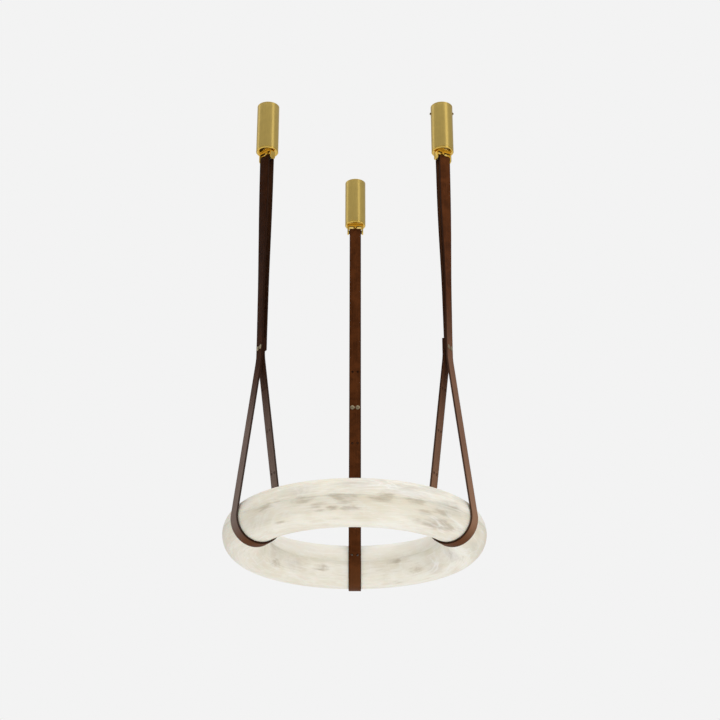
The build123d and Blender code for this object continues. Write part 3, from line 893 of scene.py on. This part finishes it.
def finish_tree(graph, geometry, material):
    """End of a tree: real meshes with their material."""
    real = graph.add("GeometryNodeRealizeInstances", {}, {"Geometry": geometry})
    coated = graph.add("GeometryNodeSetMaterial", {}, {"Geometry": real, "Material": material})
    graph.add("NodeGroupOutput", {}, {"Geometry": coated})
    return graph.tree


def grown(name, base, tree, **sizes):
    """Mesh that a tree makes from a base mesh with these sizes."""
    obj = shown(bpy.data.objects.new("base", base))
    modifier = obj.modifiers.new("grown", "NODES")
    modifier.node_group = tree
    for item in tree.interface.items_tree:
        label = item.name.replace(" ", "_").lower()
        if item.in_out == "INPUT" and label in sizes:
            modifier[item.identifier] = sizes[label]
    return evaluated_mesh(obj, name)


def kept(graph, geometry, kind, value):
    """Geometry that keeps a value for the steps after it."""
    sockets = {"Geometry": geometry, "kept": value}
    return graph.add("GeometryNodeCaptureAttribute", {"captures": kind}, sockets)


def swept_strap(graph, given):
    """Strap along the path, which keeps the place across, along and through the leather."""
    line = graph.add("GeometryNodeMeshToCurve", {}, {"Mesh": given.out("Path")})
    line = graph.add("GeometryNodeSetCurveNormal", {"mode": "FREE"}, {"Curve": line, "Normal": (0, 1, 0)})
    line = kept(graph, line, "FLOAT", graph.add("GeometryNodeSplineParameter", {}, {}, "Length"))
    sides = {"Width": given.out("Width"), "Height": given.out("Thickness")}
    section = graph.add("GeometryNodeCurvePrimitiveQuadrilateral", {}, sides)
    corner = {"Curve": section, "Count": belt_edge_steps, "Radius": given.out("Edge radius")}
    section = graph.add("GeometryNodeFilletCurve", {"mode": "POLY"}, corner)
    section = kept(graph, section, "VECTOR", graph.add("GeometryNodeInputPosition"))
    swept = {"Curve": line, "Profile Curve": section, "Fill Caps": True}
    strap = graph.add("GeometryNodeCurveToMesh", {}, swept)
    across = graph.parts(section.out("kept"))
    spot = graph.joined(across, line.out("kept"), across.out("Y"))
    named = {"Geometry": strap, "Name": "strap", "Value": spot}
    corners = {"data_type": "FLOAT_VECTOR", "domain": "CORNER"}
    return graph.add("GeometryNodeStoreNamedAttribute", corners, named)


def twisted(graph, given, strap):
    """Strap that turns about its hanger's middle on its way up."""
    position = graph.add("GeometryNodeInputPosition")
    height = graph.parts(position).out("Z")
    share = graph.step(height, given.out("Twist bottom"), given.out("Twist top"))
    turn = {"Vector": position, "Angle": share * given.out("Twist")}
    turn = graph.add("ShaderNodeVectorRotate", {"rotation_type": "Z_AXIS"}, turn)
    return graph.add("GeometryNodeSetPosition", {}, {"Geometry": strap, "Position": turn})


def punched(graph, given, strap):
    """Strap with rows of hole pairs cut out of its inward strands."""
    sizes = {"Radius": given.out("Punch radius"), "Depth": given.out("Punch length")}
    punch = graph.add("GeometryNodeMeshCylinder", {}, {"Vertices": punch_steps, **sizes})
    punch = graph.add("GeometryNodeTransform", {}, {"Geometry": punch, "Rotation": (0, pi / 2, 0)})
    pair = graph.add("GeometryNodeMeshLine", {}, {"Count": 2, "Offset": given.out("Pair step")})
    punch = graph.add("GeometryNodeInstanceOnPoints", {}, {"Points": pair, "Instance": punch})
    rows = {"Count": given.out("Rows"), "Offset": given.out("Row step")}
    rows = graph.add("GeometryNodeMeshLine", {}, {"Start Location": given.out("First hole"), **rows})
    punches = graph.add("GeometryNodeInstanceOnPoints", {}, {"Points": rows, "Instance": punch})
    punches = graph.add("GeometryNodeRealizeInstances", {}, {"Geometry": punches})
    return graph.add("GeometryNodeMeshBoolean", {"solver": "EXACT"}, {"Mesh 1": strap, "Mesh 2": punches})


def belt_tree():
    """Belt along a path that twists on its way up, with rows of punched holes."""
    inputs = {
        "Path": "Geometry",
        "Width": "Float",
        "Thickness": "Float",
        "Edge radius": "Float",
        "Twist": "Float",
        "Twist bottom": "Float",
        "Twist top": "Float",
        "Punch radius": "Float",
        "Punch length": "Float",
        "Rows": "Int",
        "First hole": "Vector",
        "Pair step": "Vector",
        "Row step": "Vector",
        "Leather": "Material",
    }
    graph, given = new_tree("leather_belt", inputs)
    strap = twisted(graph, given, swept_strap(graph, given))
    return finish_tree(graph, punched(graph, given, strap), given.out("Leather"))


def repeat_tree():
    """Copies of a fastener, each moved on by a step and turned on about Z."""
    inputs = {"Fastener": "Geometry", "Count": "Int", "Step": "Vector", "Turn": "Float", "Metal": "Material"}
    graph, given = new_tree("repeated_fastener", inputs)
    places = {"Count": given.out("Count"), "Offset": given.out("Step")}
    places = graph.add("GeometryNodeMeshLine", {}, places)
    index = graph.add("GeometryNodeInputIndex")
    turn = graph.joined(z=index * given.out("Turn"))
    turn = graph.add("FunctionNodeEulerToRotation", {}, {"Euler": turn})
    copies = {"Points": places, "Instance": given.out("Fastener"), "Rotation": turn}
    copies = graph.add("GeometryNodeInstanceOnPoints", {}, copies)
    return finish_tree(graph, copies, given.out("Metal"))


# Stone ring
def stone_half(node, up):
    """One smooth hollow half; up is 1 for the upper half and -1 for the lower one."""
    lift = parting_edge / tube_radius
    outer = arc((ring_radius, 0), tube_radius, lift, pi - lift, stone_arc_steps)
    inner = arc((ring_radius, 0), stone_bore, pi, 0, stone_arc_steps // 2)
    face = tube_radius - parting_edge
    outline = outer + [(ring_radius - face, 0)] + inner + [(ring_radius + face, 0)]
    mesh = turned(node, [(r, ring_z + up * z) for r, z in outline], ring_steps)
    if up > 0:
        hole = rod(bush_hole_radius, ring_radius, ring_radius + tube_radius + stone_bore)
        hole.transform(Matrix.Translation((0, 0, ring_z + bush_height)) @ Matrix.Rotation(-pi / 2, 4, "X"))
        mesh = drilled(mesh, hole)
    piece(f"{node}_stone", mesh, node, alabaster(f"{node}_stone", stone_shift[up]))


# Belts
def tangent_point(start, centre, radius, side):
    """Where a straight strand from start touches a circle, on its outward (1) or inward (-1) side."""
    across = start[0] - centre[0]
    up = start[1] - centre[1]
    aim = atan2(up, across)
    swing = acos(radius / hypot(across, up))
    touch = max((aim - swing, aim + swing), key=lambda angle: side * cos(angle))
    return (centre[0] + radius * cos(touch), centre[1] + radius * sin(touch))


def run(start, end):
    """Points along a straight run, without its end."""
    steps = max(1, ceil(hypot(end[0] - start[0], end[1] - start[1]) / run_step))
    return [tuple(Vector(start).lerp(Vector(end), i / steps)) for i in range(steps)]


def turn_round(centre, start, end, top):
    """Points of a turn round a circle, over its top (1) or under it (-1), without its end."""
    first = atan2(start[1] - centre[1], start[0] - centre[0])
    last = atan2(end[1] - centre[1], end[0] - centre[0])
    if top > 0:
        first += 2 * pi if first < 0 else 0
        last += 2 * pi if last < -pi / 2 else 0
    else:
        first -= 2 * pi if first > pi / 2 else 0
        last -= 2 * pi if last > 0 else 0
    radius = hypot(start[0] - centre[0], start[1] - centre[1])
    steps = ceil(abs(last - first) * radius / arc_step)
    return arc(centre, radius, first, last, steps)[:-1]


def bend(before, corner, after):
    """Points of the soft bend at a corner between two strands."""
    here = Vector(corner)
    back = (Vector(before) - here).normalized()
    on = (Vector(after) - here).normalized()
    half = back.angle(on) / 2
    reach = strand_bend_radius * cos(half) / sin(half)
    start = here + back * reach
    end = here + on * reach
    steps = max(2, ceil(2 * reach / arc_step))
    shares = [i / steps for i in range(steps + 1)]
    return [tuple(start.lerp(here, t).lerp(here.lerp(end, t), t)) for t in shares]


def belt_line(side):
    """Middle line of a belt in its hanger's plane: (outward, height) points from upper to lower end."""
    lower_layer = -layer_pitch if lower_tail_inside[side] else 0.0
    upper_layer = 0.0 if lower_tail_inside[side] else -layer_pitch
    pin = (0, pin_z)
    ring = (0, ring_z)
    pin_turn = sleeve_radius + sleeve_clearance + belt_thickness / 2
    ring_turn = tube_radius + loop_clearance + belt_thickness / 2
    upper_end = (upper_layer, stud_z - tail_down)
    upper_bend = (upper_layer, stud_z + clamp_half_length)
    outer_top = (layer_pitch, stud_z + clamp_half_length)
    outer_bottom = (layer_pitch, stud_z - clamp_half_length)
    lower_bend = (lower_layer, stud_z - clamp_half_length)
    lower_end = (lower_layer, stud_z + tail_up)
    pin_in = tangent_point(upper_bend, pin, pin_turn, -1)
    pin_out = tangent_point(outer_top, pin, pin_turn, 1)
    ring_out = tangent_point(outer_bottom, ring, ring_turn, 1)
    ring_in = tangent_point(lower_bend, ring, ring_turn, -1)
    line = [upper_end] + bend(upper_end, upper_bend, pin_in)
    line += run(line.pop(), pin_in) + turn_round(pin, pin_in, pin_out, 1)
    first = bend(pin_out, outer_top, outer_bottom)
    second = bend(outer_top, outer_bottom, ring_out)
    line += run(pin_out, first[0]) + first + second
    line += run(line.pop(), ring_out) + turn_round(ring, ring_out, ring_in, -1)
    last = bend(ring_in, lower_bend, lower_end)
    line += run(ring_in, last[0]) + last + [lower_end]
    return line


def belt(side, tree):
    """One belt with its punched holes."""
    line = belt_line(side)
    path = bpy.data.meshes.new("path")
    path.from_pydata([(u, 0, z) for u, z in line], [(i, i + 1) for i in range(len(line) - 1)], [])
    inner_reach = tube_radius + 3 * belt_thickness
    lowest = stud_z - punch_rows_below * punch_pitch
    mesh = grown(
        "belt",
        path,
        tree,
        width=belt_width,
        thickness=belt_thickness,
        edge_radius=belt_edge_radius,
        twist=radians(fork_twist[side]),
        twist_bottom=twist_bottom,
        twist_top=twist_top,
        punch_radius=punch_radius,
        punch_length=inner_reach,
        rows=punch_rows,
        first_hole=(layer_pitch / 2 - inner_reach / 2, -stud_spacing / 2, lowest),
        pair_step=(0, stud_spacing, 0),
        row_step=(0, 0, punch_pitch),
        leather=finishes["leather"],
    )
    mesh.transform(hanger_place(side))
    piece(f"{side}_leather_belt", mesh, f"{side}_belt")


def stud_pair(node, fastener, side, tree):
    """Two fasteners side by side on a belt."""
    metal = finishes[slot_of[node]]
    mesh = grown("pair", fastener, tree, count=2, step=(0, stud_spacing, 0), turn=0.0, metal=metal)
    mesh.transform(hanger_place(side) @ Matrix.Translation((0, -stud_spacing / 2, stud_z)))
    piece(f"{node}_metal", mesh, node)


def studs(side, tree):
    """Domed studs on the outward side and their socket screws on the inward side."""
    head = dome(stud_head_radius, stack_face, stud_head_lip, stud_head_height, stud_dome_steps)
    end = stud_end_gap - stack_face
    foot = [(stud_head_radius, stack_face), (stud_barrel_radius, stack_face)]
    barrel = [(stud_barrel_radius, end), (0, end)]
    outward = turned("stud", head + foot + barrel, small_turn_steps, False)
    outward.transform(Matrix.Rotation(pi / 2, 4, "Y"))
    stud_pair(f"{side}_belt_studs", outward, side, tree)
    socket = (stud_socket, stud_socket_depth, stud_socket_clear)
    inward = domed_screw("stud_screw", head, stack_face, *socket)
    inward.transform(Matrix.Rotation(-pi / 2, 4, "Y"))
    stud_pair(f"{side}_stud_screws", inward, side, tree)


# Canopies
def canopy(side):
    """Satin brass tube with a bevelled top edge and a turned line below it."""
    outline = [
        (canopy_bore, canopy_top),
        (canopy_radius - canopy_edge, canopy_top),
        (canopy_radius, canopy_top - canopy_edge),
        (canopy_radius, groove_top),
        (canopy_radius - groove_depth, groove_top - groove_width / 2),
        (canopy_radius, groove_top - groove_width),
        (canopy_radius, cap_seam + edge_round / 2),
        (canopy_bore, cap_seam + edge_round / 2),
    ]
    mesh = turned("canopy", eased(outline, edge_round), turn_steps)
    mesh.transform(hanger_place(side))
    piece(f"{side}_canopy_tube", mesh, f"{side}_canopy", finishes["satin_brass"])


def side_screws(side, tree):
    """Two dark socket screws that hold a canopy."""
    head = dome(
        side_screw_radius,
        canopy_radius,
        side_screw_lip,
        side_screw_height,
        side_screw_dome_steps,
    )
    socket = (side_screw_socket, side_screw_socket_depth, side_screw_socket_clear)
    screw = domed_screw("side_screw", head, canopy_radius, *socket)
    screw.transform(Matrix.Translation((0, 0, side_screw_z)) @ Matrix.Rotation(pi / 2, 4, "Y"))
    node = f"{side}_canopy_screws"
    turn = radians(side_screw_step[side])
    metal = finishes[slot_of[node]]
    mesh = grown("side_screws", screw, tree, count=2, step=(0, 0, 0), turn=turn, metal=metal)
    mesh.transform(hanger_place(side) @ Matrix.Rotation(radians(side_screw_turn[side]), 4, "Z"))
    piece(f"{node}_metal", mesh, node)


def end_cap(side):
    """Polished cap with a bevelled rim, a shallow recess and a spigot inside the tube."""
    outline = [
        (bolt_radius, cap_floor),
        (spigot_radius - spigot_wall, cap_floor),
        (spigot_radius - spigot_wall, spigot_top),
        (spigot_radius, spigot_top),
        (spigot_radius, cap_seam),
        (canopy_radius, cap_seam),
        (canopy_radius, canopy_bottom + cap_chamfer),
        (canopy_radius - cap_chamfer, canopy_bottom),
        (cap_recess_radius, canopy_bottom),
        (cap_recess_radius, cap_recess),
        (bolt_radius, cap_recess),
    ]
    mesh = turned("cap", eased(outline, edge_round), turn_steps)
    if side == feed_hanger:
        hole = rod(cable_hole_radius, canopy_bottom, spigot_top)
        hole.transform(Matrix.Translation((cable_hole_offset, 0, 0)))
        mesh = drilled(mesh, hole)
    mesh.transform(hanger_place(side))
    piece(f"{side}_cap_turned", mesh, f"{side}_end_cap", finishes["polished_brass"])


# Forks
def fork_section(half_width):
    """Cross-section of the flat bar: (across, through) points with eased edges."""
    half = fork_thickness / 2
    ease = min(fork_edge, half_width / 2)
    corners = [(-half_width, -half), (half_width, -half), (half_width, half), (-half_width, half)]
    return eased(corners, max(ease, least_round), steps=2)


def fork_stations():
    """Distances from the bar's middle with its half width there: straight, bend, lug and round end."""
    bend_start = fork_reach - fork_thickness / 2 - fork_bend
    bend_length = fork_bend * pi / 2
    lug_length = fork_underside + fork_thickness / 2 - fork_bend - (pin_z - fork_half_width)
    lug_start = bend_start + bend_length
    lug_straight = lug_length - fork_half_width
    total = lug_start + lug_length
    plain = [bend_start * i / fork_straight_steps for i in range(fork_straight_steps)]
    plain += [bend_start + bend_length * i / fork_bend_steps for i in range(fork_bend_steps + 1)]
    plain += [lug_start + lug_straight * (i + 1) / fork_straight_steps for i in range(fork_straight_steps)]
    stations = [(place, fork_half_width) for place in plain]
    for i in range(1, fork_end_steps + 1):
        angle = pi / 2 * i / fork_end_steps
        place = total - fork_half_width * (1 - sin(angle))
        stations.append((place, max(fork_half_width * cos(angle), least_width)))
    return stations, bend_start, bend_length


def fork_point(place, through, bend_start, bend_length):
    """Where a distance along the bar and a place through it lie after bending: (along the ring, height)."""
    middle = fork_underside + fork_thickness / 2
    if place <= bend_start:
        return (place, middle + through)
    if place >= bend_start + bend_length:
        return (bend_start + fork_bend + through, middle - fork_bend - (place - bend_start - bend_length))
    angle = (place - bend_start) / fork_bend
    radius = fork_bend + through
    return (bend_start + radius * sin(angle), middle - fork_bend + radius * cos(angle))


def fork(side):
    """Flat brass bar bent to a fork with full-round lugs, drilled for its bolt and cross screw."""
    stations, bend_start, bend_length = fork_stations()
    whole = [(-place, half) for place, half in stations[:0:-1]] + stations
    points = []
    for place, half in whole:
        for across, through in fork_section(half):
            along, height = fork_point(abs(place), through, bend_start, bend_length)
            points.append((across, along if place >= 0 else -along, height))
    count = len(fork_section(fork_half_width))
    faces = [tuple(range(count)), tuple(range(len(points) - count, len(points)))]
    for i in range(len(whole) - 1):
        for j in range(count):
            k = (j + 1) % count
            faces.append((i * count + j, i * count + k, (i + 1) * count + k, (i + 1) * count + j))
    mesh = closed_mesh("fork", points, faces)
    bolt_hole = rod(bolt_radius, fork_underside - fork_thickness, cap_recess + fork_thickness)
    seat = [
        (0, -2 * fork_reach),
        (cross_radius, -2 * fork_reach),
        (cross_radius, fork_reach - cross_head_depth),
        (cross_head_radius, fork_reach),
        (cross_head_radius, 2 * fork_reach),
        (0, 2 * fork_reach),
    ]
    seat = turned("cutter", seat, small_turn_steps, False)
    seat.transform(cross_place(side))
    mesh = drilled(mesh, bolt_hole, seat)
    mesh.transform(fork_place(side))
    piece(f"{side}_fork_bent", mesh, f"{side}_fork", finishes["polished_brass"])


def fork_place(side):
    """Matrix from a fork's own place, which is turned in its hanger, to the whole light."""
    return hanger_place(side) @ Matrix.Rotation(radians(fork_twist[side]), 4, "Z")


def cross_place(side):
    """Matrix that lays a piece turned about Z along the cross screw, its head on the screw's own side."""
    return Matrix.Translation((0, 0, pin_z)) @ Matrix.Rotation(-pi / 2 * cross_screw_side[side], 4, "X")


def cross_screw(side):
    """Countersunk socket screw through both lugs."""
    outline = [
        (0, fork_reach),
        (cross_head_radius - small_round, fork_reach),
        (cross_radius, fork_reach - cross_head_depth),
        (cross_radius, small_round - fork_reach),
        (cross_radius - small_round, -fork_reach),
        (0, -fork_reach),
    ]
    mesh = socket_head("cross_screw", outline, cross_socket, cross_socket_depth)
    mesh.transform(fork_place(side) @ cross_place(side))
    piece(f"{side}_cross_screw_metal", mesh, f"{side}_cross_screw", finishes["polished_brass"])


def belt_sleeve(side):
    """Black sleeve that the belt hangs on."""
    outline = [
        (sleeve_bore, -sleeve_half_length),
        (sleeve_radius, -sleeve_half_length),
        (sleeve_radius, sleeve_half_length),
        (sleeve_bore, sleeve_half_length),
    ]
    mesh = turned("sleeve", eased(outline, edge_round), small_turn_steps)
    mesh.transform(fork_place(side) @ cross_place(side))
    piece(f"{side}_sleeve_black", mesh, f"{side}_belt_sleeve", finishes["black_sleeve"])


def fork_bolt(side):
    """Socket bolt that holds the fork to the cap."""
    low = fork_underside - bolt_head_height
    outline = [
        (0, -low),
        (bolt_head_radius - bolt_head_chamfer, -low),
        (bolt_head_radius, -low - bolt_head_chamfer),
        (bolt_head_radius, -fork_underside),
        (bolt_radius - bolt_play, -fork_underside),
        (bolt_radius - bolt_play, -bolt_tip),
        (0, -bolt_tip),
    ]
    mesh = socket_head("fork_bolt", outline, bolt_socket, bolt_socket_depth)
    mesh.transform(hanger_place(side) @ Matrix.Rotation(pi, 4, "X"))
    piece(f"{side}_fork_bolt_metal", mesh, f"{side}_fork_bolt", finishes["polished_brass"])


# Studio
def aimed_light(name, place, target, size, watts, mirrored):
    """Soft rectangular lamp that looks at a point; mirrored says whether shiny surfaces show it."""
    lamp = bpy.data.lights.new(name, "AREA")
    lamp.shape = "RECTANGLE"
    lamp.size = size[0]
    lamp.size_y = size[1]
    lamp.energy = watts
    obj = shown(bpy.data.objects.new(name, lamp))
    obj.location = place
    obj.rotation_euler = (Vector(target) - Vector(place)).to_track_quat("-Z", "Y").to_euler()
    obj.visible_glossy = mirrored


def plain_grey(level):
    """Grey as a colour."""
    return (level, level, level, 1)


def pale_world():
    """Pale surround: even light on the object and a plain pale grey behind it."""
    world = bpy.data.worlds.new("studio")
    world.use_nodes = True
    bpy.context.scene.world = world
    graph = Graph(world.node_tree)
    world.node_tree.nodes.clear()
    white = {"Color": plain_grey(1), "Strength": surround_light}
    lit = graph.add("ShaderNodeBackground", {}, white)
    grey = {"Color": plain_grey(backdrop_grey), "Strength": 1.0}
    seen = graph.add("ShaderNodeBackground", {}, grey)
    path = graph.add("ShaderNodeLightPath", {}, {}, "Is Camera Ray")
    direct = path + path.out("Is Glossy Ray") + path.out("Is Transmission Ray")
    both = graph.add("ShaderNodeMixShader", {}, {0: direct, 1: lit, 2: seen})
    graph.add("ShaderNodeOutputWorld", {}, {"Surface": both})


def staged(name, points, faces, finish):
    """Thing of the studio, which isn't part of the object."""
    mesh = bpy.data.meshes.new(name)
    mesh.from_pydata(points, [], faces)
    mesh.materials.append(finish.material)
    obj = shown(bpy.data.objects.new(name, mesh))
    return obj


def floor():
    """Plain pale floor far below the light."""
    corners = [(x * floor_half, y * floor_half, floor_z) for x, y in ((-1, -1), (1, -1), (1, 1), (-1, 1))]
    paint = Finish("pale_floor", Roughness=0.9)
    tone = paint.noise(paint.place(), scale=0.6, detail=3, roughness=0.5)
    paint.feed(Base_Color=paint.mix(tone, *map(plain_grey, floor_greys)))
    staged("floor", corners, [(0, 1, 2, 3)], paint)


def camera():
    """Camera below the ring, at the height and distance of the picture."""
    data = bpy.data.cameras.new("camera")
    data.lens = camera_lens
    obj = shown(bpy.data.objects.new("camera", data))
    obj.location = camera_place
    obj.rotation_euler = (camera_pitch, 0, 0)
    bpy.context.scene.camera = obj


def grey_card(name, first, last):
    """Curved card between two directions, which only reflections see, so that the brass isn't all bright."""
    angles = [radians(first + (last - first) * i / card_steps) for i in range(card_steps + 1)]
    points = [(card_radius * sin(a), -card_radius * cos(a), z) for a in angles for z in (floor_z, card_top)]
    faces = [(2 * i, 2 * i + 2, 2 * i + 3, 2 * i + 1) for i in range(card_steps)]
    glow = {"Emission_Color": plain_grey(card_grey), "Emission_Strength": 1.0}
    finish = Finish("grey_card", Base_Color=plain_grey(0), Specular_IOR_Level=0.0, **glow)
    card = staged(name, points, faces, finish)
    card.visible_camera = False
    card.visible_diffuse = False
    card.visible_transmission = False
    card.visible_shadow = False


def left_flag():
    """Dark flag beside the left belt, which keeps soft light off it and is itself out of sight."""
    half = flag_width / 2
    corners = [(-half, 0, flag_low), (half, 0, flag_low), (half, 0, flag_high), (-half, 0, flag_high)]
    cloth = Finish("flag_cloth", Base_Color=plain_grey(flag_grey), Roughness=0.9)
    flag = staged("left_flag", corners, [(0, 1, 2, 3)], cloth)
    flag.data.transform(Matrix.Translation(flag_place) @ Matrix.Rotation(radians(flag_turn), 4, "Z"))
    flag.visible_camera = False
    flag.visible_glossy = False


def studio():
    """Camera, floor, pale surround, two grey cards, a dark flag and soft lamps."""
    bpy.context.scene.view_settings.view_transform = "Standard"
    camera()
    floor()
    pale_world()
    for name, span in card_spans.items():
        grey_card(name, *span)
    left_flag()
    for name, settings in lamps.items():
        aimed_light(name, *settings)


# Assembly
for stone, up in stone_halves.items():
    stone_half(stone, up)
belt_maker = belt_tree()
repeater = repeat_tree()
for hanger in hangers:
    belt(hanger, belt_maker)
    studs(hanger, repeater)
    canopy(hanger)
    side_screws(hanger, repeater)
    end_cap(hanger)
    fork(hanger)
    cross_screw(hanger)
    belt_sleeve(hanger)
    fork_bolt(hanger)
for node, solid in frame["nodes"].items():
    if not solid.hide_render:
        solid.data.materials.clear()
        solid.data.materials.append(finishes[slot_of[node]])
studio()
